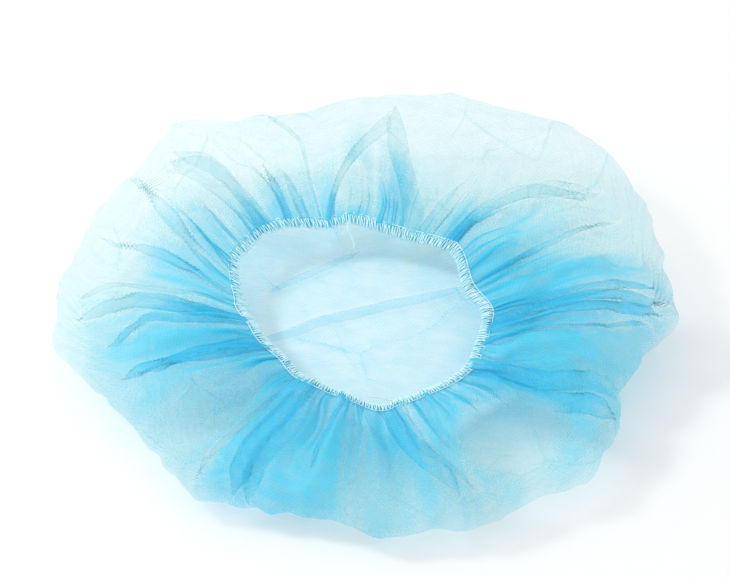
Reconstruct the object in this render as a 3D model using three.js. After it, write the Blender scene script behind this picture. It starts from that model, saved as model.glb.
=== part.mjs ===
// A disposable hair cover: one round panel of thin nonwoven, gathered all round its edge onto an
// elastic thread. It lies on its crown with the gathered opening up, as a shallow puffed ring
// round a flat crown. Millimetres, +Z up, +X along the longest way across.
import * as THREE from "three";

// ---- driving dimensions ----
const LENGTH = 320; // the longest way across the puff
const REACH = LENGTH / 2; // what the outline's shares are of
const OPENING = 125; // the gathered opening, as a mean width
const RIM_HEIGHT = 20; // the gathered edge above the surface
const WALL = 1; // the cloth, thickened to a wall that can be handled
const CROWN_SHARE = 0.64; // how far out the crown lies flat, of the reach
const TOP_SHARE = 0.76; // where the puff is highest, of the reach
const PUFF_RISE = 12; // the puff's top above its widest line
const GATHERS = 27; // regular pleats round the opening
const GATHER_DEPTH = 2.2; // a pleat at the edge, crest to middle
const GATHER_START = 1.6; // how late the pleats begin, as a power of the way in
const FOLD_GAIN = 1.3; // the main folds' height against their rows below
const FOLD_START = 0.35; // where a main fold is fully up, of the way in
const FOLD_FADE = 0.75; // how much of a main fold the rim takes away
const COLUMNS = GATHERS * 4; // round the cap, four to each pleat
const EDGE_WIDTH = 4.6; // the gathered hem, along the cloth
const EDGE_THICKNESS = 2.4;
const EDGE_SIDES = 8;
const GAP = 0.3; // clear space between the cloth and the hem

// Rows of points along each stretch of the section, as shares of the stretch.
const CROWN_ROWS = [0.3, 0.62, 1];
const SIDE_ROWS = [0.2, 0.4, 0.6, 0.8, 1];
const TURN_ROWS = [0.3, 0.6, 1];
const PUFF_ROWS = [0.16, 0.34, 0.52, 0.7, 0.86, 1];

// The outline seen from above: straight runs of cloth between the corners that folds push out.
// reach is a share of REACH; edge is the height of the widest line above the surface.
const OUTLINE = [
  { azimuth: 358, reach: 1.0, edge: 26 },
  { azimuth: 11, reach: 0.985, edge: 27 },
  { azimuth: 24, reach: 1.035, edge: 29 },
  { azimuth: 39, reach: 1.085, edge: 32 },
  { azimuth: 50, reach: 1.085, edge: 33 },
  { azimuth: 62, reach: 1.035, edge: 34 },
  { azimuth: 73, reach: 1.02, edge: 35 },
  { azimuth: 94, reach: 0.96, edge: 34 },
  { azimuth: 101, reach: 0.93, edge: 33 },
  { azimuth: 118, reach: 0.975, edge: 32 },
  { azimuth: 129, reach: 1.07, edge: 31 },
  { azimuth: 143, reach: 0.98, edge: 30 },
  { azimuth: 154, reach: 1.0, edge: 28 },
  { azimuth: 172, reach: 1.0, edge: 25 },
  { azimuth: 188, reach: 0.995, edge: 21 },
  { azimuth: 199, reach: 0.885, edge: 18 },
  { azimuth: 234, reach: 0.875, edge: 13 },
  { azimuth: 263, reach: 0.8, edge: 13 },
  { azimuth: 273, reach: 0.86, edge: 13 },
  { azimuth: 297, reach: 0.905, edge: 15 },
  { azimuth: 304, reach: 0.88, edge: 16 },
  { azimuth: 316, reach: 0.95, edge: 18 },
  { azimuth: 329, reach: 0.915, edge: 20 },
  { azimuth: 336, reach: 0.85, edge: 22 },
  { azimuth: 348, reach: 0.89, edge: 25 },
];

// The opening seen from above: radius is a share of half of OPENING.
const RIM = [
  { azimuth: 1, radius: 0.96 },
  { azimuth: 24, radius: 0.89 },
  { azimuth: 48, radius: 1.05 },
  { azimuth: 74, radius: 1.03 },
  { azimuth: 99, radius: 1.13 },
  { azimuth: 131, radius: 1.31 },
  { azimuth: 147, radius: 1.26 },
  { azimuth: 172, radius: 1.0 },
  { azimuth: 191, radius: 0.86 },
  { azimuth: 217, radius: 0.77 },
  { azimuth: 244, radius: 0.83 },
  { azimuth: 280, radius: 0.97 },
  { azimuth: 305, radius: 0.91 },
  { azimuth: 328, radius: 0.96 },
];

// The main folds: ridges that run from the opening to a corner of the outline, and the dents
// between them, which have a height below nought. width is degrees, lean is the degrees that a
// fold swings round on its way in.
const FOLDS = [
  { azimuth: 357, width: 9, height: 6, lean: 6 },
  { azimuth: 22, width: 12, height: -5, lean: 0 },
  { azimuth: 46, width: 10, height: 5, lean: -6 },
  { azimuth: 66, width: 12, height: -6, lean: 4 },
  { azimuth: 88, width: 7, height: 6, lean: 8 },
  { azimuth: 106, width: 12, height: -4, lean: 0 },
  { azimuth: 130, width: 9, height: 6, lean: -8 },
  { azimuth: 152, width: 7, height: 4, lean: -6 },
  { azimuth: 165, width: 9, height: -5, lean: 0 },
  { azimuth: 184, width: 10, height: 5, lean: 4 },
  { azimuth: 208, width: 8, height: 4, lean: 8 },
  { azimuth: 222, width: 8, height: -6, lean: 4 },
  { azimuth: 237, width: 8, height: 7, lean: 6 },
  { azimuth: 260, width: 7, height: 5, lean: 0 },
  { azimuth: 276, width: 8, height: -5, lean: 0 },
  { azimuth: 290, width: 6, height: 6, lean: -6 },
  { azimuth: 314, width: 13, height: -7, lean: 0 },
  { azimuth: 336, width: 8, height: 6, lean: 8 },
];

const CLOTH_COLOUR = 0x9adcf0;
const EDGE_COLOUR = 0x7fd3ea;

// ---- helpers ----
const radians = THREE.MathUtils.degToRad;
const mix = THREE.MathUtils.lerp;
const turned = (degrees) => THREE.MathUtils.euclideanModulo(degrees, 360);
const wrapped = (degrees) => turned(degrees + 180) - 180;

// The rows on either side of an azimuth, and how far it is from the first to the second.
function rowsAround(table, azimuth) {
  const at = table.map((row) => turned(azimuth - row.azimuth));
  const before = at.indexOf(Math.min(...at));
  const next = (before + 1) % table.length;
  const span = turned(table[next].azimuth - table[before].azimuth);
  return { a: table[before], b: table[next], share: at[before] / span, span };
}

// How far out the straight chord between two corners lies on the way between them.
function onChord(distanceA, distanceB, share, span) {
  const a = radians(span * share);
  const b = radians(span * (1 - share));
  const area = distanceA * distanceB * Math.sin(a + b);
  return area / (distanceA * Math.sin(a) + distanceB * Math.sin(b));
}

function outlineAt(azimuth) {
  const { a, b, share, span } = rowsAround(OUTLINE, azimuth);
  return {
    reach: REACH * onChord(a.reach, b.reach, share, span),
    edge: mix(a.edge, b.edge, share),
  };
}

// The opening is a drawn-in soft polygon: a blend of the chord and a smooth turn.
function rimAt(azimuth) {
  const { a, b, share, span } = rowsAround(RIM, azimuth);
  const eased = THREE.MathUtils.smootherstep(share, 0, 1);
  const radius = (onChord(a.radius, b.radius, share, span) + mix(a.radius, b.radius, eased)) / 2;
  return (radius * OPENING) / 2;
}

const point = (r, z) => new THREE.Vector2(r, z);

// Points at the given shares along a curve that leaves start towards first and reaches end from
// second.
function curve(start, first, second, end, shares) {
  const bezier = new THREE.CubicBezierCurve(start, first, second, end);
  return shares.map((share) => bezier.getPoint(share));
}

// Height that the folds and the pleats add; inward goes from 0 at the widest line to 1 at the rim.
function foldHeight(azimuth, inward) {
  const start = THREE.MathUtils.smoothstep(inward, 0, FOLD_START);
  const swell = FOLD_GAIN * start * (1 - FOLD_FADE * inward);
  const folds = FOLDS.reduce((sum, fold) => {
    const off = wrapped(azimuth - fold.azimuth - fold.lean * inward) / fold.width;
    return sum + fold.height * Math.exp(-off * off);
  }, 0);
  const pleats = GATHER_DEPTH * Math.cos(radians(azimuth * GATHERS)) * inward ** GATHER_START;
  return folds * swell + pleats;
}

// ---- the meridian: from the middle of the crown, out, up, over and in to the rim ----
function meridian(azimuth) {
  const { reach, edge } = outlineAt(azimuth);
  const rim = rimAt(azimuth) + EDGE_WIDTH;
  const crown = reach * CROWN_SHARE;
  const top = edge + PUFF_RISE;
  const crownEdge = point(crown, 0);
  const widest = point(reach, edge);
  const summit = point(reach * TOP_SHARE, top);
  const gathered = point(rim, RIM_HEIGHT);
  const line = [
    ...CROWN_ROWS.map((share) => point(crown * share, 0)),
    ...curve(
      crownEdge,
      point(mix(crown, reach, 0.6), 0),
      point(reach, edge * 0.35),
      widest,
      SIDE_ROWS,
    ),
    ...curve(
      widest,
      point(reach, mix(edge, top, 0.7)),
      point(mix(reach, summit.x, 0.5), top),
      summit,
      TURN_ROWS,
    ),
    ...curve(
      summit,
      point(mix(summit.x, rim, 0.4), top),
      point(mix(summit.x, rim, 0.7), RIM_HEIGHT + 5),
      gathered,
      PUFF_ROWS,
    ),
  ];
  const widestRow = CROWN_ROWS.length + SIDE_ROWS.length - 1;
  const looseRows = line.length - 1 - widestRow;
  return line.map((p, row) => {
    const inward = Math.max(0, (row - widestRow) / looseRows);
    return point(p.x, p.y + foldHeight(azimuth, inward));
  });
}

function place(azimuth, p) {
  const angle = radians(azimuth);
  return new THREE.Vector3(p.x * Math.cos(angle), p.x * Math.sin(angle), p.y);
}

// A closed mesh from vertices and quads, each given as four indices facing outwards.
function solidMesh(name, points, quads, triangles, colour) {
  const index = triangles.concat(quads.flatMap(([a, b, c, d]) => [a, b, c, a, c, d]));
  const geometry = new THREE.BufferGeometry().setFromPoints(points);
  geometry.setIndex(index);
  geometry.computeVertexNormals();
  const material = new THREE.MeshStandardMaterial({ color: colour, roughness: 0.75, metalness: 0 });
  const mesh = new THREE.Mesh(geometry, material);
  mesh.name = name;
  return mesh;
}

// ---- crown panel: the gathered cloth, one open bag with a wall all round ----
function crownPanel() {
  const azimuths = Array.from({ length: COLUMNS }, (_, i) => (i * 360) / COLUMNS);
  const outer = azimuths.map((azimuth) => meridian(azimuth).map((p) => place(azimuth, p)));
  const rows = outer[0].length;
  const centre = new THREE.Vector3(0, 0, 0);
  const at = (i, row) => (row < 0 ? centre : outer[(i + COLUMNS) % COLUMNS][row]);

  // The inner skin: each outer point moved in by the wall, square to the cloth there.
  const inner = azimuths.map((_, i) =>
    outer[i].map((spot, row) => {
      const along = at(i, Math.min(row + 1, rows - 1)).clone().sub(at(i, row - 1));
      const round = at(i + 1, row).clone().sub(at(i - 1, row));
      const inwards = along.cross(round).normalize();
      if (row < CROWN_ROWS.length) inwards.set(0, 0, 1);
      return spot.clone().addScaledVector(inwards, WALL);
    }),
  );

  const points = [centre, new THREE.Vector3(0, 0, WALL)];
  const outerIndex = (i, row) => 2 + (i % COLUMNS) * rows * 2 + row;
  const innerIndex = (i, row) => outerIndex(i, row) + rows;
  azimuths.forEach((_, i) => points.push(...outer[i], ...inner[i]));

  const quads = [];
  const triangles = [];
  azimuths.forEach((_, i) => {
    triangles.push(0, outerIndex(i + 1, 0), outerIndex(i, 0));
    triangles.push(1, innerIndex(i, 0), innerIndex(i + 1, 0));
    for (let row = 0; row < rows - 1; row++) {
      quads.push([
        outerIndex(i, row),
        outerIndex(i + 1, row),
        outerIndex(i + 1, row + 1),
        outerIndex(i, row + 1),
      ]);
      quads.push([
        innerIndex(i, row),
        innerIndex(i, row + 1),
        innerIndex(i + 1, row + 1),
        innerIndex(i + 1, row),
      ]);
    }
    const last = rows - 1;
    quads.push([
      outerIndex(i, last),
      outerIndex(i + 1, last),
      innerIndex(i + 1, last),
      innerIndex(i, last),
    ]);
  });
  return solidMesh("crown_panel", points, quads, triangles, CLOTH_COLOUR);
}

// ---- elastic edge: the hem that the elastic thread draws in, a closed ring inside the rim ----
function elasticEdge() {
  const ring = Array.from({ length: COLUMNS }, (_, i) => {
    const azimuth = (i * 360) / COLUMNS;
    const line = meridian(azimuth);
    const last = line[line.length - 1];
    const along = last.clone().sub(line[line.length - 2]).normalize();
    const across = new THREE.Vector2(-along.y, along.x);
    const middle = last.clone().addScaledVector(along, EDGE_WIDTH / 2 + GAP);
    return Array.from({ length: EDGE_SIDES }, (_, k) => {
      const turn = ((k + 0.5) * 2 * Math.PI) / EDGE_SIDES;
      const p = middle
        .clone()
        .addScaledVector(along, (Math.cos(turn) * EDGE_WIDTH) / 2)
        .addScaledVector(across, (Math.sin(turn) * EDGE_THICKNESS) / 2);
      return place(azimuth, p);
    });
  });
  const quads = [];
  ring.forEach((_, i) => {
    for (let k = 0; k < EDGE_SIDES; k++) {
      const j = (i + 1) % COLUMNS;
      const l = (k + 1) % EDGE_SIDES;
      quads.push([i * EDGE_SIDES + k, j * EDGE_SIDES + k, j * EDGE_SIDES + l, i * EDGE_SIDES + l]);
    }
  });
  return solidMesh("elastic_edge", ring.flat(), quads, [], EDGE_COLOUR);
}

// ---- the cap, with the middle of its box over the origin ----
const cap = new THREE.Group();
cap.add(crownPanel(), elasticEdge());
const box = new THREE.Box3().setFromObject(cap);
const middle = box.getCenter(new THREE.Vector3());
cap.position.set(-middle.x, -middle.y, -box.min.z);

export default cap;
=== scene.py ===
# %% [markdown]
# # A disposable hair cover, cell by cell
# The real thing is one round piece of very thin blue nonwoven, gathered all round its edge onto an
# elastic thread and overlocked. It lies on its crown with the gathered opening up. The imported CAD
# part gives the frame: where the cloth and the hem are. This script makes what is seen there: the
# pleated sheet, its gathered hem, the overlock stitches and a tail of thread.
#
# Blender's Cloth could drop such a sheet, but it lets the folds fall anywhere, and gathers this
# fine need a dense mesh and a long run. So the sheet is laid on its form ring by ring instead.

# %% Load the frame
import math

import bpy
import numpy as np
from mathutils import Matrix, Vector, noise


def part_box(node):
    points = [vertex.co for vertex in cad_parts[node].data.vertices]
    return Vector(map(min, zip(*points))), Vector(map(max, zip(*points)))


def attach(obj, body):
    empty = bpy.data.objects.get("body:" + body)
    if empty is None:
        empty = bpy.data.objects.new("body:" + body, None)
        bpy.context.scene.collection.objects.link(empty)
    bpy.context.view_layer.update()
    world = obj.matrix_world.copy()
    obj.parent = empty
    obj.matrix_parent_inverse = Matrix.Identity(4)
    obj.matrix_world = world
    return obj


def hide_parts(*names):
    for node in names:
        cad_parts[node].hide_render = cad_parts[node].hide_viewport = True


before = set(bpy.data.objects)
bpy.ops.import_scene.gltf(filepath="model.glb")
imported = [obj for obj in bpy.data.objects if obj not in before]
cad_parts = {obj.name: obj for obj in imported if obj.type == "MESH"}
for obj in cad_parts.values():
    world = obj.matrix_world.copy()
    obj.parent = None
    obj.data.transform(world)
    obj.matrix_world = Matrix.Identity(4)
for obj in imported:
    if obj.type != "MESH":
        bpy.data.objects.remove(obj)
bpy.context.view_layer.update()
hem_low, hem_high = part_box("elastic_edge")
print("its hem is", [round(v, 3) for v in hem_high - hem_low], "m")

# %% [markdown]
# ## Sizes
# The sheet is worked out from the disc that was cut: 530 mm across. Every ring of the disc keeps
# nearly all of its length, so where a ring has to lie on a shorter way round, the spare cloth must
# go into pleats. That is how the real cap gets its folds, and it makes them crowd towards the
# opening.

# %% Sizes of the cut and of the cap, in metres
MM = 0.001
CUT_RADIUS = 265 * MM
REACH = 159 * MM  # what the outline's shares are of
OPENING = 125 * MM  # the opening's mean width
RIM_HEIGHT = 20 * MM
CROWN_SHARE = 0.64  # how far out the crown lies flat
TOP_SHARE = 0.76  # where the puff is highest
PUFF_RISE = 12 * MM  # the puff's top above its widest line
HEM_WIDTH = 4.6 * MM
LEAST_LIFT = 0.4 * MM  # the lowest that cloth lies above the surface
# The tables' own middle lies a little off the middle of the cap's box.
MIDDLE = Vector((0.3 * MM, -9.4 * MM, 0))
print("the disc is", 2 * CUT_RADIUS, "m across, and the rim lies", RIM_HEIGHT, "m up")

# %% The corners of the outline
# Azimuth in degrees, reach as a share of REACH, and height of the widest line in mm. The cloth is
# pulled straight from corner to corner.
OUTLINE = np.array(
    [
        (-2, 1.0, 26),
        (11, 0.985, 27),
        (24, 1.035, 29),
        (39, 1.085, 32),
        (50, 1.085, 33),
        (62, 1.035, 34),
        (73, 1.02, 35),
        (94, 0.96, 34),
        (101, 0.93, 33),
        (118, 0.975, 32),
        (129, 1.07, 31),
        (143, 0.98, 30),
        (154, 1.0, 28),
        (172, 1.0, 25),
        (188, 0.995, 21),
        (199, 0.885, 18),
        (234, 0.875, 13),
        (263, 0.8, 13),
        (273, 0.86, 13),
        (297, 0.905, 15),
        (304, 0.88, 16),
        (316, 0.95, 18),
        (329, 0.915, 20),
        (336, 0.85, 22),
        (348, 0.89, 25),
    ]
)

# %% The shape of the opening
# Azimuth in degrees, and radius as a share of half the opening.
RIM = np.array(
    [
        (1, 0.96),
        (24, 0.89),
        (48, 1.05),
        (74, 1.03),
        (99, 1.13),
        (131, 1.31),
        (147, 1.26),
        (172, 1.0),
        (191, 0.86),
        (217, 0.77),
        (244, 0.83),
        (280, 0.97),
        (305, 0.91),
        (328, 0.96),
    ]
)
print(len(OUTLINE), "corners round the puff,", len(RIM), "round the opening")

# %% Broad ridges and dents of the puff
# Azimuth and width in degrees, height in mm, and the degrees that each swings round on its way in.
FOLDS = [
    (357, 9, 6, 6),
    (22, 12, -5, 0),
    (46, 10, 5, -6),
    (66, 12, -6, 4),
    (88, 7, 6, 8),
    (106, 12, -4, 0),
    (130, 9, 6, -8),
    (152, 7, 4, -6),
    (165, 9, -5, 0),
    (184, 10, 5, 4),
    (208, 8, 4, 8),
    (222, 8, -6, 4),
    (237, 8, 7, 6),
    (260, 7, 5, 0),
    (276, 8, -5, 0),
    (290, 6, 6, -6),
    (314, 13, -7, 0),
    (336, 8, 6, 8),
]
print(len(FOLDS), "ridges and dents")

# %% [markdown]
# ## The form that the cloth lies on
# A section through the cap goes out flat along the surface, up round the widest line, over the
# puff and down to the rim. One function gives that line for any azimuth, and a table of points
# along it, spaced by their real distance, lets every ring of the cloth find its place.

# %% Helpers for the form
TURN = 2 * math.pi
AZIMUTHS = 720  # sections round the cap
STATIONS = 160  # points along each section
CURVE_POINTS = 40  # points along each stretch of a section, before they are spaced evenly


def smooth(low, high, value):
    """0 at low, 1 at high, and eased between them."""
    t = np.clip((value - low) / (high - low), 0, 1)
    return t * t * (3 - 2 * t)


def around(table, azimuth):
    """The rows before and after each azimuth, and how far it is between them, in degrees."""
    degrees = np.mod(azimuth - table[0, 0], 360)
    starts = table[:, 0] - table[0, 0]
    before = np.searchsorted(starts, degrees, side="right") - 1
    after = (before + 1) % len(table)
    span = np.mod(table[after, 0] - table[before, 0], 360)
    return before, after, degrees - starts[before], span


def chord(table, column, azimuth):
    """The distance to the straight line between two corners."""
    before, after, gone, span = around(table, azimuth)
    a, b = np.radians(gone), np.radians(span - gone)
    p, q = table[before, column], table[after, column]
    return p * q * np.sin(a + b) / (p * np.sin(a) + q * np.sin(b))


def eased(table, column, azimuth):
    """A column of a table between its rows, changing smoothly."""
    before, after, gone, span = around(table, azimuth)
    share = smooth(0, 1, gone / span)
    return table[before, column] * (1 - share) + table[after, column] * share


def bezier(a, b, c, d, t):
    """Points of one curve for every azimuth at once: the ends are arrays of (r, z)."""
    t = t[None, :, None]
    a, b, c, d = (p[:, None, :] for p in (a, b, c, d))
    return a * (1 - t) ** 3 + 3 * b * t * (1 - t) ** 2 + 3 * c * t**2 * (1 - t) + d * t**3


def pair(r, z):
    """Radius and height together, as an array of (r, z)."""
    return np.stack(np.broadcast_arrays(r, z), axis=-1).astype(float)


# %% The section at every azimuth
azimuth = np.arange(AZIMUTHS) * 360 / AZIMUTHS
reach = REACH * chord(OUTLINE, 1, azimuth)
edge = MM * eased(OUTLINE, 2, azimuth)
rim_share = (chord(RIM, 1, azimuth) + eased(RIM, 1, azimuth)) / 2
rim = OPENING / 2 * rim_share + 0.6 * MM
crown = reach * CROWN_SHARE
top = edge + PUFF_RISE
summit = reach * TOP_SHARE
steps = np.linspace(0, 1, CURVE_POINTS)

line = np.concatenate(
    [
        crown[:, None, None] * steps[:-1][None, :, None] * np.array([1.0, 0.0]),
        bezier(
            pair(crown, 0),
            pair(crown * 0.4 + reach * 0.6, 0),
            pair(reach, edge * 0.35),
            pair(reach, edge),
            steps[:-1],
        ),
        bezier(
            pair(reach, edge),
            pair(reach, edge * 0.3 + top * 0.7),
            pair((reach + summit) / 2, top),
            pair(summit, top),
            steps[:-1],
        ),
        bezier(
            pair(summit, top),
            pair(summit * 0.6 + rim * 0.4, top),
            pair(summit * 0.3 + rim * 0.7, RIM_HEIGHT + 5 * MM),
            pair(rim, RIM_HEIGHT),
            steps,
        ),
    ],
    axis=1,
)

# %% Ridges and dents on the section
# They rise from nought at the widest line and are mostly gone again at the rim.
TOP_IS_IN = 0.38  # the puff's top, as a share of the way from the widest line to the rim
FOLD_GAIN = 1.3
FOLD_RISEN = 0.35  # where a fold is fully up, on the way in
FOLD_FADE = 0.75  # how much of a fold the rim takes away
inward = np.concatenate(
    [
        np.zeros(2 * (CURVE_POINTS - 1)),
        np.linspace(0, TOP_IS_IN, CURVE_POINTS)[:-1],
        np.linspace(TOP_IS_IN, 1, CURVE_POINTS),
    ]
)
swell = FOLD_GAIN * smooth(0, FOLD_RISEN, inward) * (1 - FOLD_FADE * inward)
for middle, width, height, lean in FOLDS:
    off = np.mod(azimuth[:, None] - middle - lean * inward + 180, 360) - 180
    line[:, :, 1] += height * MM * swell * np.exp(-((off / width) ** 2))

# %% Points spaced evenly along each section
steps_long = np.linalg.norm(np.diff(line, axis=1), axis=2)
along = np.concatenate([np.zeros((AZIMUTHS, 1)), np.cumsum(steps_long, axis=1)], axis=1)
SECTION = np.empty((AZIMUTHS, STATIONS, 2))
for i in range(AZIMUTHS):
    shares = np.linspace(0, along[i, -1], STATIONS)
    SECTION[i, :, 0] = np.interp(shares, along[i], line[i, :, 0])
    SECTION[i, :, 1] = np.interp(shares, along[i], line[i, :, 1])
shortest, longest = along[:, -1].min(), along[:, -1].max()
print("from the middle to the rim it is", round(shortest, 3), "to", round(longest, 3), "m")

# %% Where a ring of the cloth lies
# SECTION holds the places of the form, and OUTWARD the direction off it, both as (r, z).
slope = np.gradient(SECTION, axis=1)
slope /= np.linalg.norm(slope, axis=2, keepdims=True) + 1e-12
OUTWARD = np.stack([slope[..., 1], -slope[..., 0]], axis=-1)


def on_form(field, turn, share):
    """A field of the form at azimuths turn (radians) and one share of the way to the rim."""
    i = np.mod(turn / TURN, 1) * AZIMUTHS
    j = np.clip(share, 0, 1) * (STATIONS - 1)
    i0, j0 = np.floor(i).astype(int), np.minimum(np.floor(j).astype(int), STATIONS - 2)
    fi, fj = (i - i0)[..., None], np.broadcast_to(j - j0, i.shape)[..., None]
    i1 = (i0 + 1) % AZIMUTHS
    i0 = i0 % AZIMUTHS
    near = field[i0, j0] * (1 - fj) + field[i0, j0 + 1] * fj
    far = field[i1, j0] * (1 - fj) + field[i1, j0 + 1] * fj
    return near * (1 - fi) + far * fi


def mean_radius(share):
    """The radius of the form, averaged round the cap, at one share of the way to the rim."""
    turn = np.arange(0, TURN, TURN / 360)
    return float(on_form(SECTION, turn, share)[:, 0].mean())


for share in (0.4, 0.6, 0.8, 1.0):
    spare = CUT_RADIUS * share / mean_radius(share)
    print(f"at {share:.1f} of the cut the cloth is {spare:.2f} times as long as its way round")

# %% [markdown]
# ## Pleats
# A pleat is a place where the cloth runs forward, turns back on itself and runs forward again, so
# three layers lie there. Written as the direction that the cloth runs in, a pleat is a stretch
# where that angle swings to almost half a turn. Bands of such pleats fan out from the opening
# where the cap's main folds are. Between them are the clear windows of one layer. At the rim,
# finer gathers take up the rest, as they were sewn.

# %% The bands of main pleats
# Azimuth where the band leaves the outline and where it meets the rim, its spread at either end,
# all in degrees, how many pleats, their width as a share, which way up they lap, and the cut
# radius in mm where they begin.
BANDS = [
    (22, 24, 2, 6, 1, 0.5, -1, 182),
    (31, 50, 2, 5, 2, 1.9, -1, 182),
    (57, 63, 8, 10, 2, 1.0, 1, 222),
    (83, 72, 1, 3, 1, 1.9, 1, 186),
    (84, 104, 1, 4, 1, 1.9, -1, 184),
    (111, 108, 1, 1, 1, 0.35, 1, 168),
    (137, 130, 2, 8, 2, 2.0, -1, 194),
    (118, 117, 6, 10, 2, 1.0, 1, 226),
    (147, 157, 2, 6, 1, 1.3, 1, 172),
    (161, 166, 3, 4, 1, 0.7, -1, 172),
    (187, 181, 14, 20, 3, 1.5, 1, 172),
    (203, 203, 4, 7, 2, 1.9, -1, 172),
    (233, 232, 4, 6, 1, 1.4, 1, 158),
    (243, 242, 6, 12, 2, 1.9, 1, 158),
    (257, 260, 6, 8, 1, 1.0, -1, 180),
    (290, 281, 4, 8, 2, 1.9, 1, 172),
    (332, 325, 9, 16, 2, 2.1, -1, 160),
    (357, 352, 11, 26, 4, 1.5, 1, 166),
]
print(len(BANDS), "bands of main pleats")

# %% Sizes of the pleats
SEAM_AT = math.radians(13)  # an azimuth that no pleat crosses
SAMPLES = 6144  # points round a ring while its pleats are worked out
PLEAT_TURN = 0.93 * math.pi  # how far a main pleat turns back: nearly half a turn
FOLD_SOFTNESS = 1.0 * MM  # length of cloth in half a fold's bend
WIDEST_PLEAT = 26 * MM
PLEATS_AT_RIM_SHARE = 0.30  # of the spare cloth, what the main pleats hold at the rim
FINE_PLEATS = 118
MEDIUM_PLEATS = 49
HEIGHT_AT_RIM = 0.30  # how much of their height the gathers keep where the elastic holds them
KINK_REACH = 26 * MM

# %% Every main pleat
# A band's pleats are spread over it with a little disorder. The generator is seeded, so the cap
# comes out the same each time.
generator = np.random.default_rng(11)
pleats = []
for outer, inner, outer_spread, inner_spread, count, share, lap, start in BANDS:
    for k in range(count):
        offset = (k - (count - 1) / 2) / count
        jitter = generator.uniform(-0.2, 0.2, 2) / count
        width = share * generator.uniform(0.45, 1.55)
        pleats.append(
            (
                outer + (offset + jitter[0]) * outer_spread,
                inner + (offset + jitter[1]) * inner_spread,
                width,
                lap,
                start + generator.uniform(-4, 8),
            )
        )
pleats = np.array(sorted(pleats, key=lambda row: (row[1] - math.degrees(SEAM_AT)) % 360))
PLEAT_COUNT = len(pleats)
# Azimuths, width as a share, lap, and where each begins, as arrays with one value a pleat.
PLEAT_OUTER, PLEAT_INNER = np.radians(pleats[:, 0]), np.radians(pleats[:, 1])
PLEAT_SHARE, PLEAT_LAP, PLEAT_START = pleats[:, 2], pleats[:, 3], pleats[:, 4] * MM
# Every pleat has two kinks where it was creased: at which cut radius, and by how much.
KINK_AT = generator.uniform(175, 228, (PLEAT_COUNT, 2)) * MM
KINK_BY = np.radians(generator.uniform(-2.2, 2.2, (PLEAT_COUNT, 2)))
print(PLEAT_COUNT, "main pleats,", MEDIUM_PLEATS, "medium and", FINE_PLEATS, "fine ones")

# %% Where the pleats of one ring are
theta = np.arange(SAMPLES) * TURN / SAMPLES  # places round the flat disc
ripple_phase = generator.uniform(0, TURN, 12)


def waves_round(turn, count, seed, amount):
    """An uneven count of waves round the opening, at these azimuths."""
    phase = count * turn
    for k in range(5):
        phase = phase + amount * np.sin((3 + 4 * k) * turn + ripple_phase[(seed + k) % 12])
    return np.sin(phase)


def pleats_of(radius, way_round, spare):
    """Where on the cut each main pleat's middle is, where it lies, and the cloth it turns back."""
    share = radius / CUT_RADIUS
    started = smooth(0, 20 * MM, radius - PLEAT_START)
    held = spare * (0.8 - (0.8 - PLEATS_AT_RIM_SHARE) * smooth(0.76, 1.0, share))
    weight = PLEAT_SHARE * started
    width = held / 2 * weight / max(weight.sum(), 0.4 * PLEAT_SHARE.sum())
    width = WIDEST_PLEAT * np.tanh((width + 1.0 * MM * started) / WIDEST_PLEAT)
    inward = smooth(0, 1, (radius - PLEAT_START) / (CUT_RADIUS - PLEAT_START))
    lies = PLEAT_OUTER + np.angle(np.exp(1j * (PLEAT_INNER - PLEAT_OUTER))) * inward
    kinks = np.clip(1 - np.abs(radius - KINK_AT) / KINK_REACH, 0, 1) * KINK_BY
    lies = np.sort(np.mod(lies + kinks.sum(axis=1) - SEAM_AT, TURN)) + SEAM_AT
    used = width * (1 - math.cos(PLEAT_TURN))
    gaps = np.diff(np.append(lies, lies[0] + TURN)) * way_round / TURN
    gathered = (TURN * radius - used.sum()) / way_round
    lengths = gaps * gathered + (used + np.roll(used, -1)) / 2
    on_cut = np.concatenate([[0], np.cumsum(lengths)[:-1]]) / radius
    on_cut += np.angle(np.exp(1j * (lies - on_cut)).sum())
    return on_cut, lies, width


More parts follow.
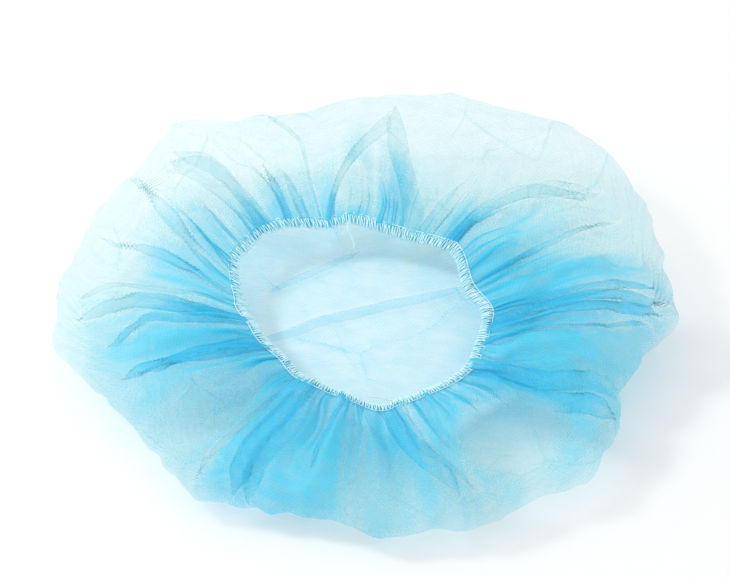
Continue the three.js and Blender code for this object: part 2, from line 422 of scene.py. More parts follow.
# %% How the cloth of one ring runs
def ring(radius):
    """For the samples of a ring of the cut: where each lies round the form, how far off the form,
    and whether a main pleat's layers are there. The strength of the gathers is found by halving,
    so that the ring closes with its real length, or with as much as the steepest ones take up."""
    share = radius / CUT_RADIUS
    way_round = TURN * mean_radius(share)
    length = TURN * radius
    main, folded, layered = np.zeros(SAMPLES), np.zeros(SAMPLES), np.zeros(SAMPLES)
    on_cut, lies, width = pleats_of(radius, way_round, max(length - way_round, 0))
    for k in range(PLEAT_COUNT):
        if width[k] < 0.2 * MM:
            continue
        away = radius * (np.mod(theta - on_cut[k] + math.pi, TURN) - math.pi)
        soft = min(FOLD_SOFTNESS, width[k] / 3)
        inside = np.tanh((away + width[k] / 2) / soft) - np.tanh((away - width[k] / 2) / soft)
        inside *= smooth(0, 2.5 * MM, width[k]) / 2
        main += PLEAT_LAP[k] * PLEAT_TURN * inside
        folded += inside
        layered = np.maximum(layered, smooth(1.9, 1.2, np.abs(away) / width[k]))
    # The gathers between two main pleats keep their places between them, so they never cross.
    half = width * (1 - math.cos(PLEAT_TURN)) / 2 / radius
    knots = np.stack([on_cut - half, on_cut + half], axis=1).ravel()
    turns = np.repeat(np.mod(PLEAT_INNER - SEAM_AT, TURN) + SEAM_AT, 2)
    knots = np.concatenate([knots - TURN, knots, knots + TURN])
    turns = np.concatenate([turns - TURN, turns, turns + TURN])
    about = np.interp(theta, knots, turns)
    free = 1 - np.clip(folded, 0, 1)
    fine = smooth(0.84, 1.0, share) * waves_round(about, FINE_PLEATS, 0, 1.8)
    medium = smooth(0.68, 0.86, share) * (1 - 0.8 * smooth(0.9, 1, share))
    medium *= waves_round(about, MEDIUM_PLEATS, 5, 1.3)
    wave = free * (fine + 0.9 * medium + 0.08 * waves_round(about, 31, 3, 0.8))
    low, high = 0.0, 2.6
    for _ in range(14):
        strength = (low + high) / 2
        run = np.cos(main + strength * wave).mean() * length
        low, high = (strength, high) if run > way_round else (low, strength)
    angle = main + strength * wave
    onward = np.cumsum(np.cos(angle)) * length / SAMPLES
    lift = np.cumsum(np.sin(angle)) * length / SAMPLES
    onward *= TURN / onward[-1]
    lift -= np.linspace(0, lift[-1], SAMPLES)
    # Slow waves of the lift would move whole sides up and down, so they are taken out.
    waves = np.fft.rfft(lift)
    wavelength = length / np.maximum(np.arange(len(waves)), 0.5)
    waves *= 1 - smooth(28 * MM, 60 * MM, wavelength)
    lift = np.fft.irfft(waves, SAMPLES)
    # Each main pleat is moved the last little way to its own azimuth.
    found = np.interp(np.mod(on_cut, TURN), theta, onward)
    short = np.angle(np.exp(1j * (lies - found)))
    order = np.argsort(np.mod(on_cut, TURN))
    onward += np.interp(theta, np.mod(on_cut, TURN)[order], short[order], period=TURN)
    lift *= 1 - (1 - HEIGHT_AT_RIM) * smooth(0.9, 1.0, share)
    return onward, lift, layered


_, lift, _ = ring(CUT_RADIUS)
print("at the rim the gathers stand", round(lift.max() - lift.min(), 4), "m high")

# %% [markdown]
# ## Clear windows and crowded cloth
# Most of the gathers near the opening are finer than any mesh here can carry. Their layers are
# kept as a number at each point instead: how many more layers lie there than the mesh has. In the
# clear windows, where the top cloth lies single, that number is small or nought.

# %% The clear windows
# Azimuth and radius of the middle in degrees and mm, half its size in degrees and in mm, and how
# clear it is.
WINDOWS = [
    (122, 130, 17, 30, 1.0),
    (57, 120, 24, 34, 0.95),
    (95, 86, 7, 12, 0.8),
    (22, 130, 11, 24, 0.65),
    (27, 108, 8, 20, 0.55),
    (171, 132, 10, 21, 1.0),
    (190, 152, 12, 12, 0.3),
    (220, 98, 11, 34, 0.85),
    (252, 108, 4, 12, 0.5),
    (275, 110, 8, 22, 0.7),
    (310, 107, 17, 32, 1.0),
    (346, 124, 8, 16, 0.5),
]
print(len(WINDOWS), "windows")

# %% The crowded cloth
# Azimuth, the radius in mm where the crowded cloth has thinned out, the extra layers where it
# is most crowded, and those all the way out.
CROWD = np.array(
    [
        (0, 172, 12.5, 1.6),
        (22, 142, 7.0, 1.9),
        (45, 120, 9.0, 0.5),
        (65, 100, 9.0, 0.4),
        (86, 130, 7.0, 0.3),
        (105, 112, 9.0, 0.5),
        (124, 116, 10.5, 0.0),
        (150, 135, 8.0, 0.1),
        (172, 150, 5.0, 0.5),
        (190, 160, 8.0, 1.5),
        (206, 155, 10.0, 0.8),
        (222, 150, 7.0, 0.5),
        (240, 175, 7.5, 0.9),
        (262, 156, 9.5, 0.6),
        (285, 158, 9.0, 0.6),
        (311, 160, 8.5, 0.1),
        (335, 168, 9.0, 0.6),
    ]
)
THINNING = 62 * MM  # over how much radius the crowded cloth thins out
PLEAT_CONTRAST = 1.3  # how much denser a main pleat is than the cloth beside it
CROWN_CREASES_AND_SHADE = 1.1  # extra layers of the crown: partly creases too fine for the mesh, partly painted shade
FULLY_CROWDED = 6  # extra layers that give the deepest colour


def fanned(turn, r):
    """Streaks that fan out from the opening: about 1, a little more or less."""
    points = zip(9 * np.cos(turn), 9 * np.sin(turn), r / (70 * MM))
    coarse = np.array([noise.noise(Vector(p)) for p in points])
    points = zip(31 * np.cos(turn), 31 * np.sin(turn), r / (50 * MM))
    fine = np.array([noise.noise(Vector(p)) for p in points])
    return np.clip(1 + 1.1 * coarse + 0.7 * fine, 0.1, 2.2)


def crowding(x, y, share, layered):
    """Extra layers at points of one ring, less those that a main pleat has there as its own, and
    how crowded the cloth is, from 0 to 1."""
    r = np.hypot(x, y)
    turn = np.arctan2(y, x)
    clear = np.zeros(len(r))
    for middle, radius, half_turn, half_width, strength in WINDOWS:
        off = (np.mod(np.degrees(turn) - middle + 180, 360) - 180) / half_turn
        far = np.hypot(off, (r / MM - radius) / half_width)
        clear = np.maximum(clear, strength * smooth(1.15, 0.62, far))
    azimuth = np.degrees(turn)
    near_rim = smooth(0, THINNING, MM * eased(CROWD, 1, azimuth) - r)
    gathered = eased(CROWD, 2, azimuth) * near_rim * (1 - clear) * fanned(turn, r)
    extra = (eased(CROWD, 3, azimuth) + gathered) * smooth(0.56, 0.68, share)
    in_pleat = np.maximum(PLEAT_CONTRAST * (1 + extra) - 3, 0) / 3
    extra += (in_pleat - extra) * layered * smooth(0.5, 0.6, share)
    # The crown's extra layers are partly its fine creases and partly painted shade. They dim the cloth
    # inside the opening, where the ring shades it.
    extra += CROWN_CREASES_AND_SHADE * smooth(0.5, 0.3, share)
    return extra, np.clip(gathered / FULLY_CROWDED, 0, 1)


some_turn = np.radians(np.arange(0, 360, 5))
some_extra, _ = crowding(0.08 * np.cos(some_turn), 0.08 * np.sin(some_turn), 0.9, 0 * some_turn)
print("80 mm out there are", some_extra.min().round(1), "to", some_extra.max().round(1), "more layers")

# %% [markdown]
# ## The sheet
# The mesh is built ring by ring from the middle of the disc. Rings near the rim have more columns,
# because their pleats are finer, and a ring's column count doubles where it has to. Each point
# also keeps its place on the flat cut as its UV, so the fibres of the cloth can follow the
# pleats.

# %% Rings and columns
RING_ROWS = [  # from cut radius, to cut radius, step, all in mm, and columns
    (1.5, 3, 1.5, 24),
    (3, 6, 1.5, 48),
    (6, 12, 1.5, 96),
    (12, 30, 1.5, 192),
    (30, 84, 1.5, 384),
    (84, 150, 2.6, 384),
    (150, 196, 2.3, 768),
    (196, 265, 2.1, 1536),
]
rings = []
for first, last, step, columns in RING_ROWS:
    for radius in np.arange(first, last - 0.3 * step, step):
        rings.append((radius * MM, columns))
rings.append((CUT_RADIUS, RING_ROWS[-1][3]))
triangles = sum(2 * columns for _, columns in rings)
print(len(rings), "rings, about", triangles, "triangles")


# %% Wrinkles of the cloth itself
# Tucks pressed into the crown where it was folded flat in its pack. Two ends as (x, y) in mm from
# the crown's middle, and the width of the tuck.
TUCKS = [
    (-78, -6, 70, 46, 11.0),
    (-58, 32, 4, 72, 8.0),
    (-14, -34, 60, -50, 2.5),
]
TUCK_REACH = 45 * MM  # how far off the cloth is pulled along into a tuck
TUCK_SOFTNESS = 0.4 * MM
TUCK_HEIGHT = 1 * MM


def tucked(x, y, z):
    """Moves flat cloth into three-layer tucks along the table's lines, and tells where they are."""
    in_tuck = np.zeros(len(x))
    for x0, y0, x1, y1, width in TUCKS:
        ax, ay, bx, by, width = x0 * MM, y0 * MM, x1 * MM, y1 * MM, width * MM
        length = math.hypot(bx - ax, by - ay)
        ux, uy = (bx - ax) / length, (by - ay) / length
        gone = ((x - ax) * ux + (y - ay) * uy) / length
        across = (y - ay) * ux - (x - ax) * uy
        half = width / 2 * smooth(0, 0.3, gone) * smooth(1, 0.7, gone) + 1e-6
        before, after = across + half, across - half
        clamped = (np.hypot(before, TUCK_SOFTNESS) - np.hypot(after, TUCK_SOFTNESS)) / 2
        shift = -2 * clamped + 2 * half * np.tanh(across / TUCK_REACH)
        shift *= np.exp(-((across / (2 * TUCK_REACH)) ** 4))
        there = smooth(2.6, 1.9, np.abs(across) / half) * smooth(0, 1 * MM, half)
        in_tuck = np.maximum(in_tuck, there)
        x = x - shift * uy
        y = y + shift * ux
        z = z + TUCK_HEIGHT / 2 * (1 + clamped / half) * smooth(0, 1 * MM, half)
    return x, y, z, in_tuck


def ridged(points, size, seed):
    """Rounded creases that wander, size apart."""
    offset = Vector((seed * 5.7, seed * 2.3, seed * 1.1))
    return np.array([(1 - abs(noise.noise(Vector(p) / size + offset))) ** 4 for p in points])


def creased(points, size, seed):
    """Straight creases between flat dents, size apart: 1 on a crease, 0 in a dent."""
    offset = Vector((seed * 7.3, seed * 3.1, seed * 1.7))
    found = [noise.voronoi(Vector(p) / size + offset)[0] for p in points]
    return np.array([max(0, 1 - 1.6 * (d[1] - d[0])) for d in found])


# %% Lay the rings on the form
# Out on the puff the crumpled cloth lies a little inside the form, so that its creases stand no
# further out than the cap does.
CRUMPLED_IN = 1.7 * MM
positions, cut_places, extra_layers, how_crowded = [], [], [], []
for radius, columns in rings:
    turn, lift, layered = ring(radius)
    pick = (np.arange(columns) * SAMPLES) // columns
    turn, lift, layered, angle = turn[pick], lift[pick], layered[pick], theta[pick]
    share = radius / CUT_RADIUS
    cut_place = np.stack([radius * np.cos(angle), radius * np.sin(angle), 0 * angle], axis=1)
    held = 1 - smooth(0.9, 1.0, share)
    crumple = 0.5 * creased(cut_place, 41 * MM, 1) + 0.3 * creased(cut_place, 15 * MM, 2)
    crumple += 0.9 * ridged(cut_place, 47 * MM, 4) + 0.3 * ridged(cut_place, 17 * MM, 5)
    crumple *= MM * (0.7 + 1.0 * smooth(0.45, 0.62, share)) * held
    crumple -= CRUMPLED_IN * smooth(0.5, 0.62, share) * held
    place = on_form(SECTION, turn, share)
    outward = on_form(OUTWARD, turn, share)
    loose = smooth(0.45, 0.62, share)
    r = place[:, 0] + (lift + crumple) * outward[:, 0] * loose
    z = place[:, 1] + (lift + crumple) * outward[:, 1] * loose + crumple * (1 - loose)
    x, y = r * np.cos(turn), r * np.sin(turn)
    tx, ty, tz, in_tuck = tucked(x, y, z)
    flat_part = smooth(0.5, 0.36, share)
    extra, crowded = crowding(x, y, share, layered)
    extra_layers.append(extra * (1 - 0.85 * in_tuck * flat_part))
    how_crowded.append(crowded)
    x, y, z = x + (tx - x) * flat_part, y + (ty - y) * flat_part, z + (tz - z) * flat_part
    z = np.maximum(z, 0) + LEAST_LIFT
    positions.append(np.stack([x + MIDDLE.x, y + MIDDLE.y, z], axis=1))
    cut_places.append(cut_place[:, :2])
middle = positions[0].mean(axis=0, keepdims=True)
positions = np.concatenate([middle] + positions)
cut_places = np.concatenate([np.zeros((1, 2))] + cut_places)
extra_layers = np.concatenate([extra_layers[0][:1]] + extra_layers)
how_crowded = np.concatenate([how_crowded[0][:1]] + how_crowded)
print("the sheet spans", np.round(positions.min(0), 4), "to", np.round(positions.max(0), 4))

# %% Join the rings with faces
# Where a ring has twice as many columns as the one before, three triangles join each column.
faces = []
start = 1
first_columns = rings[0][1]
for j in range(first_columns):
    faces.append((0, 1 + j, 1 + (j + 1) % first_columns))
for (_, columns), (_, next_columns) in zip(rings, rings[1:]):
    after = start + columns
    for j in range(columns):
        a, b = start + j, start + (j + 1) % columns
        if next_columns == columns:
            faces.append((a, after + j, after + (j + 1) % columns, b))
        else:
            c, d, e = after + 2 * j, after + 2 * j + 1, after + (2 * j + 2) % next_columns
            faces += [(a, c, d), (a, d, b), (b, d, e)]
    start = after
print(len(faces), "faces")

# %% The sheet's mesh
sheet_mesh = bpy.data.meshes.new("gathered_cloth")
sheet_mesh.from_pydata(positions.tolist(), [], faces)
# The map is the flat cut itself.
uv = sheet_mesh.uv_layers.new(name="OFBake")
loops = np.empty(len(sheet_mesh.loops), dtype=int)
sheet_mesh.loops.foreach_get("vertex_index", loops)
uv.data.foreach_set("uv", (cut_places[loops] / (2 * CUT_RADIUS) + 0.5).ravel())
for name, values in (("extra_layers", extra_layers), ("how_crowded", how_crowded)):
    sheet_mesh.attributes.new(name, "FLOAT", "POINT").data.foreach_set("value", values)
sheet_mesh.shade_smooth()
cloth = bpy.data.objects.new("gathered_cloth", sheet_mesh)
bpy.context.scene.collection.objects.link(cloth)

# %% [markdown]
# ## Materials
# Spunbond polypropylene: a mat of melted fibres laid down mostly one way and pressed together at
# small bond points, so thin that about a ninth of the light meets a fibre and the rest goes
# straight through. Fibres scatter light both back and on, so one layer is nearly clear, and many
# layers are a strong blue that still glows.

# %% Helpers for materials


def linear(hex_colour):
    """An sRGB hex colour as linear red, green, blue and alpha."""
    channels = [int(hex_colour[i : i + 2], 16) / 255 for i in (1, 3, 5)]
    return [c / 12.92 if c <= 0.04045 else ((c + 0.055) / 1.055) ** 2.4 for c in channels] + [1.0]


def add_node(tree, kind, inputs=(), **settings):
    """Adds a node. inputs holds numbers, colours, other nodes or their outputs: a list fills the
    inputs in order, and a dictionary names them."""
    node = tree.nodes.new(kind)
    for name, value in settings.items():
        setattr(node, name, value)
    for name, value in inputs.items() if isinstance(inputs, dict) else enumerate(inputs):
        if isinstance(value, bpy.types.Node):
            value = value.outputs[0]
        if isinstance(value, bpy.types.NodeSocket):
            tree.links.new(value, node.inputs[name])
        else:
            node.inputs[name].default_value = value
    return node


def new_material(name):
    """An empty material, and its node tree."""
    material = bpy.data.materials.new(name)
    material.use_nodes = True
    material.node_tree.nodes.clear()
    return material, material.node_tree


def fibre_finish(tree, colour, ior, roughness, bump, glow, cover=1.0):
    """Ends a material of fibres: glow is the share of their light that goes on through them, and
    cover the share of the surface that they cover."""
    lit = {"Base Color": colour, "IOR": ior, "Roughness": roughness, "Normal": bump}
    surface = add_node(tree, "ShaderNodeBsdfPrincipled", lit)
    through = add_node(tree, "ShaderNodeBsdfTranslucent", {"Color": colour})
    fibre = add_node(tree, "ShaderNodeMixShader", [glow, surface, through])
    clear = add_node(tree, "ShaderNodeBsdfTransparent")
    mat = add_node(tree, "ShaderNodeMixShader", [cover, clear, fibre])
    add_node(tree, "ShaderNodeOutputMaterial", [mat])


# %% The fibres of the nonwoven
# Melt-spun polypropylene, so its index is 1.49. Its fibres lie mostly one way, which gives fine
# streaks, and are laid down unevenly, which gives clouds. Both follow the flat cut, so they turn
# with the pleats. The bond points, on a square grid turned by 45 degrees, are pressed flat,
# smooth and clearer. Real ones are about 1 mm apart, which is too fine to show, so they are drawn
# wider apart.
POLYPROPYLENE_IOR = 1.49
LAYER_COVER = 0.115  # the share of light that meets a fibre in one layer
STREAK = (8.8, 0.6)  # length and width in mm
CLOUD = (13, 6)
BOND_PITCH = 1.6 * MM
FIBRE_RELIEF = 0.12 * MM

nonwoven, tree = new_material("spunbond_polypropylene")
cut_map = add_node(tree, "ShaderNodeUVMap", uv_map="OFBake")
patches = []
for length, width in (STREAK, CLOUD):
    scale = (2 * CUT_RADIUS / (length * MM), 2 * CUT_RADIUS / (width * MM), 1)
    stretched = add_node(tree, "ShaderNodeMapping", {"Vector": cut_map, "Scale": scale})
    pattern = {"Vector": stretched, "Scale": 1.0, "Detail": 2.0}
    patches.append(add_node(tree, "ShaderNodeTexNoise", pattern, noise_dimensions="2D"))
streaks, clouds = patches
diagonal = {"Vector": cut_map, "Rotation": (0, 0, math.radians(45))}
diagonal = add_node(tree, "ShaderNodeMapping", diagonal)
grid = {"Vector": diagonal, "Scale": 2 * CUT_RADIUS / BOND_PITCH, "Randomness": 0.0}
from_bond = add_node(tree, "ShaderNodeTexVoronoi", grid, voronoi_dimensions="2D")
unbonded = add_node(tree, "ShaderNodeMapRange", [from_bond, 0.16, 0.28, 0.0, 1.0])
laid = add_node(tree, "ShaderNodeMath", [streaks, clouds], operation="ADD")
least, most = 0.75 * LAYER_COVER, 1.25 * LAYER_COVER
laid = add_node(tree, "ShaderNodeMapRange", [laid, 0.7, 1.3, least, most])
whole = add_node(tree, "ShaderNodeMapRange", [unbonded, 0.0, 1.0, 0.7, 1.05])
laid = add_node(tree, "ShaderNodeMath", [laid, whole], operation="MULTIPLY")
print("one layer covers", LAYER_COVER, "of the light's way")

# %% Layers and pressed creases
# The layers at a point are the mesh's own one, the extra ones of its gathers, and a few more on
# the lines of creases, where the cloth is pinched. A layer passes on what the one above let
# through, so the light that passes is one layer's share to the power of the layers.
CREASES = [  # mm from crease to crease, mm wide, and the layers pinched into one
    (44, 1.2, 1.8),
    (13, 0.6, 0.6),
]
WORN_PATCH = 38 * MM  # only patches of this size are creased
extra = add_node(tree, "ShaderNodeAttribute", attribute_name="extra_layers").outputs["Fac"]
layers = add_node(tree, "ShaderNodeMath", [extra, 1.0], operation="ADD")
pattern = {"Vector": cut_map, "Scale": 2 * CUT_RADIUS / WORN_PATCH, "Detail": 0.0}
worn = add_node(tree, "ShaderNodeTexNoise", pattern, noise_dimensions="2D")
worn = add_node(tree, "ShaderNodeMapRange", [worn, 0.51, 0.7, 0.0, 1.0])
for apart, width, pinch in CREASES:
    crease = add_node(
        tree,
        "ShaderNodeTexVoronoi",
        {"Vector": cut_map, "Scale": 2 * CUT_RADIUS / (apart * MM)},
        feature="DISTANCE_TO_EDGE",
        voronoi_dimensions="2D",
    )
    crease = add_node(tree, "ShaderNodeMapRange", [crease, 0.0, width / apart, pinch, 0.0])
    crease = add_node(tree, "ShaderNodeMath", [crease, worn], operation="MULTIPLY")
    layers = add_node(tree, "ShaderNodeMath", [layers, crease], operation="ADD")
passed = add_node(tree, "ShaderNodeMath", [1.0, laid], operation="SUBTRACT")
passed = add_node(tree, "ShaderNodeMath", [passed, layers], operation="POWER")
cover = add_node(tree, "ShaderNodeMath", [1.0, passed], operation="SUBTRACT")
print("five layers cover", round(1 - (1 - LAYER_COVER) ** 5, 2))

# %% Spunbond polypropylene
# Light that comes out of crowded cloth has met more fibres on its way, so it is a deeper blue.
# The mat is dull, and its bond points are a little glossier.
FIBRE, CROWDED_FIBRE = "#84DDE5", "#5ADEF7"
crowded = add_node(tree, "ShaderNodeAttribute", attribute_name="how_crowded").outputs["Fac"]
uneven = add_node(tree, "ShaderNodeMapRange", [clouds, 0.3, 0.7, -0.15, 0.15])
deeper = add_node(tree, "ShaderNodeMath", [crowded, uneven], operation="ADD")
colours = {0: deeper, 6: linear(FIBRE), 7: linear(CROWDED_FIBRE)}
relief = add_node(tree, "ShaderNodeMath", [streaks, unbonded], operation="MULTIPLY")
relief = {"Height": relief, "Distance": FIBRE_RELIEF, "Strength": 1.0}
fibre_finish(
    tree,
    colour=add_node(tree, "ShaderNodeMix", colours, data_type="RGBA").outputs[2],
    ior=POLYPROPYLENE_IOR,
    roughness=add_node(tree, "ShaderNodeMapRange", [unbonded, 0.0, 1.0, 0.3, 0.55]),
    bump=add_node(tree, "ShaderNodeBump", relief),
    glow=0.5,
    cover=cover,
)
sheet_mesh.materials.append(nonwoven)
print(nonwoven.name, "has", len(tree.nodes), "nodes")

# %% [markdown]
# ## Hem, overlock and tail
# The rim is a soft gathered roll of the same cloth with an elastic inside. Three threads hold it:
# a needle thread along the outer side of the hem, and two loopers that zigzag between it and the
# cut edge, one above the hem and one below, and lock round the edge.

# %% Places along the rim
STITCHES = 236  # about 1.7 mm apart
HEM_THICKNESS = 2.4 * MM
HEM_SLOPE = 0.25  # how fast the hem rises on its way out from the cut edge
THREAD_RADIUS = 0.23 * MM


def rim_point(turn, out, up, on=0.0):
    """A place at the hem: out from the cut edge, up from it, and on along the rim, in metres."""
    end = on_form(SECTION, np.atleast_1d(turn), 1.0)
    turn = turn + on / end[:, 0]
    end = on_form(SECTION, np.atleast_1d(turn), 1.0)
    r = end[:, 0] + out
    z = end[:, 1] + up + HEM_SLOPE * out + LEAST_LIFT
    return np.stack([r * np.cos(turn) + MIDDLE.x, r * np.sin(turn) + MIDDLE.y, z], axis=-1)


rim_way = rim_point(np.linspace(0, TURN, 721), 0.0, 0.0)
rim_length = np.linalg.norm(np.diff(rim_way, axis=0), axis=1).sum()
print("the rim is", round(rim_length, 3), "m round,", round(rim_length / STITCHES, 5), "m a stitch")

# %% The gathered roll
# A flattened roll, puckered once for each stitch and swaying a little, as gathered cloth does.
ROLL_SIDES = 8
ROLL_COLUMNS = STITCHES * 4
turn = np.arange(ROLL_COLUMNS) * TURN / ROLL_COLUMNS
pucker = 1 + 0.28 * np.sin(turn * STITCHES) + generator.uniform(-0.12, 0.12, ROLL_COLUMNS)
sway = 0.25 * MM * np.sin(turn * 67 + 3 * np.sin(5 * turn))
loop_angles = np.arange(ROLL_SIDES) * TURN / ROLL_SIDES
roll = np.stack(
    [
        rim_point(
            turn,
            HEM_WIDTH * 0.46 * (1 + np.cos(a) * (0.8 + 0.2 * pucker)) + sway,
            HEM_THICKNESS * 0.42 * pucker * np.sin(a) + sway,
        )
        for a in loop_angles
    ],
    axis=1,
)
roll_faces = []
for i in range(ROLL_COLUMNS):
    for k in range(ROLL_SIDES):
        j, m = (i + 1) % ROLL_COLUMNS, (k + 1) % ROLL_SIDES
        corners = (i * ROLL_SIDES + k, j * ROLL_SIDES + k, j * ROLL_SIDES + m, i * ROLL_SIDES + m)
        roll_faces.append(corners)
hem_mesh = bpy.data.meshes.new("gathered_hem")
hem_mesh.from_pydata(roll.reshape(-1, 3).tolist(), [], roll_faces)
hem_mesh.shade_smooth()
hem = bpy.data.objects.new("gathered_hem", hem_mesh)
bpy.context.scene.collection.objects.link(hem)
print("hem roll:", len(roll_faces), "faces")


# %% Threads
def thread(name, path, radius, closed=True):
    """A round thread along a path, as a mesh."""
    curve = bpy.data.curves.new(name, "CURVE")
    curve.dimensions = "3D"
    curve.bevel_depth = radius
    curve.bevel_resolution = 1
    spline = curve.splines.new("POLY")
    spline.points.add(len(path) - 1)
    spline.points.foreach_set("co", np.column_stack([path, np.ones(len(path))]).ravel())
    spline.use_cyclic_u = closed
    curve.use_fill_caps = not closed
    made = bpy.data.objects.new(name, curve)
    bpy.context.scene.collection.objects.link(made)
    bpy.ops.object.select_all(action="DESELECT")
    made.select_set(True)
    bpy.context.view_layer.objects.active = made
    bpy.ops.object.convert(target="MESH")
    made = bpy.context.object
    made.data.shade_smooth()
    way = np.vstack([path, path[:1]]) if closed else path
    print(name, "is", round(np.linalg.norm(np.diff(way, axis=0), axis=1).sum(), 3), "m long")
    return made


# %% The overlock
# One stitch of a looper thread: how far along the stitch as a share, and out from the cut edge
# and up in mm.
LOOPER = np.array(
    [
        (0.00, 4.7, 0.9),
        (0.16, 3.0, 1.5),
        (0.30, 0.8, 1.4),
        (0.36, -0.7, 0.8),
        (0.50, -1.3, 0.1),
        (0.64, -0.7, 0.8),
        (0.70, 0.8, 1.4),
        (0.84, 3.0, 1.5),
    ]
)


def looper(side, phase):
    """The whole path of a looper thread, above (1) or below (-1) the hem. Stitches differ a little
    in where they start, how deep they are and how they lean."""
    pitch = TURN / STITCHES
    starts = (np.arange(STITCHES) + phase + generator.uniform(-0.22, 0.22, STITCHES)) * pitch
    depth = generator.uniform(0.75, 1.2, STITCHES)[:, None]
    lean = generator.uniform(-0.35, 0.35, STITCHES)[:, None] * LOOPER[None, ::-1, 1] / 5
    turn = starts[:, None] + (LOOPER[None, :, 0] + lean) * pitch
    out = LOOPER[None, :, 1] * depth * MM
    up = side * LOOPER[None, :, 2] * MM * np.ones_like(depth)
    return rim_point(turn.ravel(), out.ravel(), up.ravel())


NEEDLE_OUT, NEEDLE_UP, NEEDLE_DIP = 4.7 * MM, 1.1 * MM, 0.25 * MM
upper = thread("upper_looper", looper(1, 0.0), THREAD_RADIUS)
lower = thread("lower_looper", looper(-1, 0.5), THREAD_RADIUS)
turn = np.arange(STITCHES * 4) * TURN / (STITCHES * 4)
dip = NEEDLE_DIP * np.cos(turn * STITCHES)
needle_way = rim_point(turn, NEEDLE_OUT + 0 * turn, NEEDLE_UP + dip)
needle = thread("needle_thread", needle_way, THREAD_RADIUS)

# %% The tail of thread
# Where the overlock ends, its last threads are left as a short twisted chain over the edge.
TAIL_AT = math.radians(97)
TAIL_LENGTH = 15 * MM
TAIL_POINTS = 60
TAIL_TWISTS = 6
TAIL_DROP = 9.5 * MM
along_tail = np.linspace(0, 1, TAIL_POINTS)
twist = along_tail * TURN * TAIL_TWISTS
wind = 0.28 * MM * (1 + 0.4 * np.sin(along_tail * 21))  # how far a strand is off the tail's middle
tails = []
for k in range(2):
    sideways = wind * np.cos(twist + math.pi * k) + 1.4 * MM * np.sin(along_tail * 5)
    inward = -0.6 * MM + 0.80 * TAIL_LENGTH * along_tail
    drop = 1.2 * MM - TAIL_DROP * along_tail**1.6 + wind * np.sin(twist + math.pi * k)
    start = np.full(TAIL_POINTS, TAIL_AT)
    path = rim_point(start, -inward, drop + HEM_SLOPE * inward, on=sideways)
    tails.append(thread(f"tail_strand_{k}", path, THREAD_RADIUS * 0.9, closed=False))

# %% Gathered polypropylene
# The hem is the same cloth in many small gathers, so it is cloudier and whiter than the cap, and
# its fibres stand up a little where it was cut.
GATHER_PATCH, FUZZ = 4.0 * MM, 0.5 * MM
hem_cloth, tree = new_material("gathered_polypropylene")
place = add_node(tree, "ShaderNodeTexCoord").outputs["Object"]
patches = []
for size in (GATHER_PATCH, FUZZ):
    pattern = {"Vector": place, "Scale": 1 / size, "Detail": 2.0}
    patches.append(add_node(tree, "ShaderNodeTexNoise", pattern))
gathers, fuzz = patches
whiter = add_node(tree, "ShaderNodeMapRange", [gathers, 0.35, 0.65, 0.0, 1.0])
colours = {0: whiter, 6: linear("#9FE6F6"), 7: linear("#C2F2FB")}
relief = {"Height": fuzz, "Distance": 0.05 * MM, "Strength": 1.0}
fibre_finish(
    tree,
    colour=add_node(tree, "ShaderNodeMix", colours, data_type="RGBA").outputs[2],
    ior=POLYPROPYLENE_IOR,
    roughness=add_node(tree, "ShaderNodeMapRange", [fuzz, 0.3, 0.7, 0.6, 0.8]),
    bump=add_node(tree, "ShaderNodeBump", relief),
    glow=0.2,
    cover=add_node(tree, "ShaderNodeMapRange", [gathers, 0.3, 0.7, 0.3, 0.55]),
)
hem_mesh.materials.append(hem_cloth)
print(hem_cloth.name, "has", len(tree.nodes), "nodes")

# %% Textured polyester yarn
# Overlock yarn is crimped so that it fills the edge: its fine filaments stand off in tiny loops,
# which makes it pale, soft and without a shine. Polyester's index is 1.57.
POLYESTER_IOR = 1.57
DYED_PATCH, FILAMENT_LOOP = 2.5 * MM, 0.2 * MM
yarn, tree = new_material("textured_polyester_yarn")
place = add_node(tree, "ShaderNodeTexCoord").outputs["Object"]
dyed = {"Vector": place, "Scale": 1 / DYED_PATCH, "Detail": 2.0}
dyed = add_node(tree, "ShaderNodeTexNoise", dyed)
crimp = {"Vector": place, "Scale": 1 / FILAMENT_LOOP, "Detail": 1.0}
crimp = add_node(tree, "ShaderNodeTexNoise", crimp)
paler = add_node(tree, "ShaderNodeMapRange", [dyed, 0.35, 0.65, 0.0, 1.0])
colours = {0: paler, 6: linear("#C4F5FC"), 7: linear("#E2FCFF")}
relief = {"Height": crimp, "Distance": 0.02 * MM, "Strength": 1.0}
fibre_finish(
    tree,
    colour=add_node(tree, "ShaderNodeMix", colours, data_type="RGBA").outputs[2],
    ior=POLYESTER_IOR,
    roughness=add_node(tree, "ShaderNodeMapRange", [crimp, 0.3, 0.7, 0.7, 0.9]),
    bump=add_node(tree, "ShaderNodeBump", relief),
    glow=0.0,
)
threads = [upper, lower, needle, *tails]
for piece in threads:
    piece.data.materials.append(yarn)
print(yarn.name, "is on", len(threads), "pieces")

# %% [markdown]
# ## What each piece stands for
# All of it is one body. The sheet takes the place of the plain crown solid and the roll that of
# the plain hem. The threads are stitching, which the frame has no solid for.

# %% Ride and replace
for piece in (cloth, hem, *threads):
    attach(piece, "root")
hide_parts("crown_panel")
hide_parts("elastic_edge")

# %% [markdown]
# ## Surface, light and camera
# The cap lies on white paper in an even, bright room. One large soft light stands to the upper
# left, half way up, so the cloth casts a pale shadow to the right.

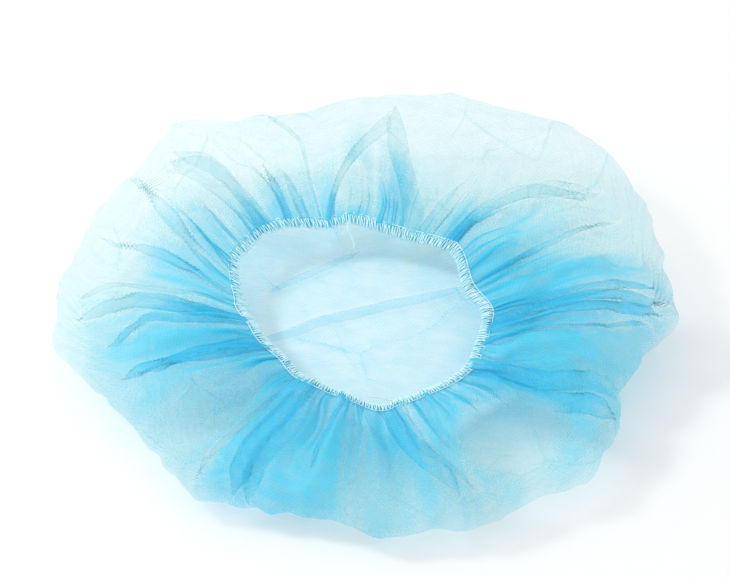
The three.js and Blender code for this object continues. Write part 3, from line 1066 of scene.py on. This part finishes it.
# %% White paper
FLOOR_SIZE = 8
bpy.ops.object.select_all(action="DESELECT")
bpy.ops.mesh.primitive_plane_add(size=FLOOR_SIZE)
floor = bpy.context.object
floor.name = "floor"
white, tree = new_material("white_paper")
paper = {"Base Color": (0.9, 0.9, 0.9, 1), "Roughness": 0.9}
surface = add_node(tree, "ShaderNodeBsdfPrincipled", paper)
add_node(tree, "ShaderNodeOutputMaterial", [surface])
floor.data.materials.append(white)
print("the floor is", FLOOR_SIZE, "m wide")

# %% Room and key light
ROOM_LIGHT = 0.92
KEY_AT = Vector((-1.15, 0.35, 1.15))
KEY_SIZE = 0.35
KEY_POWER = 9.6
world = bpy.data.worlds.new("studio")
world.use_nodes = True
world.node_tree.nodes["Background"].inputs["Color"].default_value = (1, 1, 1, 1)
world.node_tree.nodes["Background"].inputs["Strength"].default_value = ROOM_LIGHT
bpy.context.scene.world = world
data = bpy.data.lights.new("key", "AREA")
data.shape = "DISK"
data.size = KEY_SIZE
data.energy = KEY_POWER
key = bpy.data.objects.new("key", data)
key.location = KEY_AT
key.rotation_euler = (-KEY_AT).to_track_quat("-Z", "Y").to_euler()
bpy.context.scene.collection.objects.link(key)
print("the key light is", round(KEY_AT.length, 2), "m off, at", KEY_POWER, "W")

# %% Camera
LENS = 120
SENSOR = 36
VIEW_WIDTH = 0.3767  # how much of the scene the picture spans at the cap, in metres
ELEVATION = math.radians(45)
AIM = Vector((0, 12 * MM, 20.5 * MM))
distance = VIEW_WIDTH * LENS / SENSOR
data = bpy.data.cameras.new("camera")
data.lens = LENS
data.sensor_width = SENSOR
camera = bpy.data.objects.new("camera", data)
camera.location = AIM + distance * Vector((0, -math.cos(ELEVATION), math.sin(ELEVATION)))
camera.rotation_euler = (math.pi / 2 - ELEVATION, 0, 0)
bpy.context.scene.collection.objects.link(camera)
bpy.context.scene.camera = camera
print("the camera is", round(distance, 3), "m off")

# %% Colour and bounces
# White paper has to stay white, so colours aren't compressed. Light goes through dozens of clear
# layers in the gathers, and each is a transparent bounce.
bpy.context.scene.view_settings.view_transform = "Standard"
bpy.context.scene.cycles.transparent_max_bounces = 64
bpy.context.scene.cycles.diffuse_bounces = 4
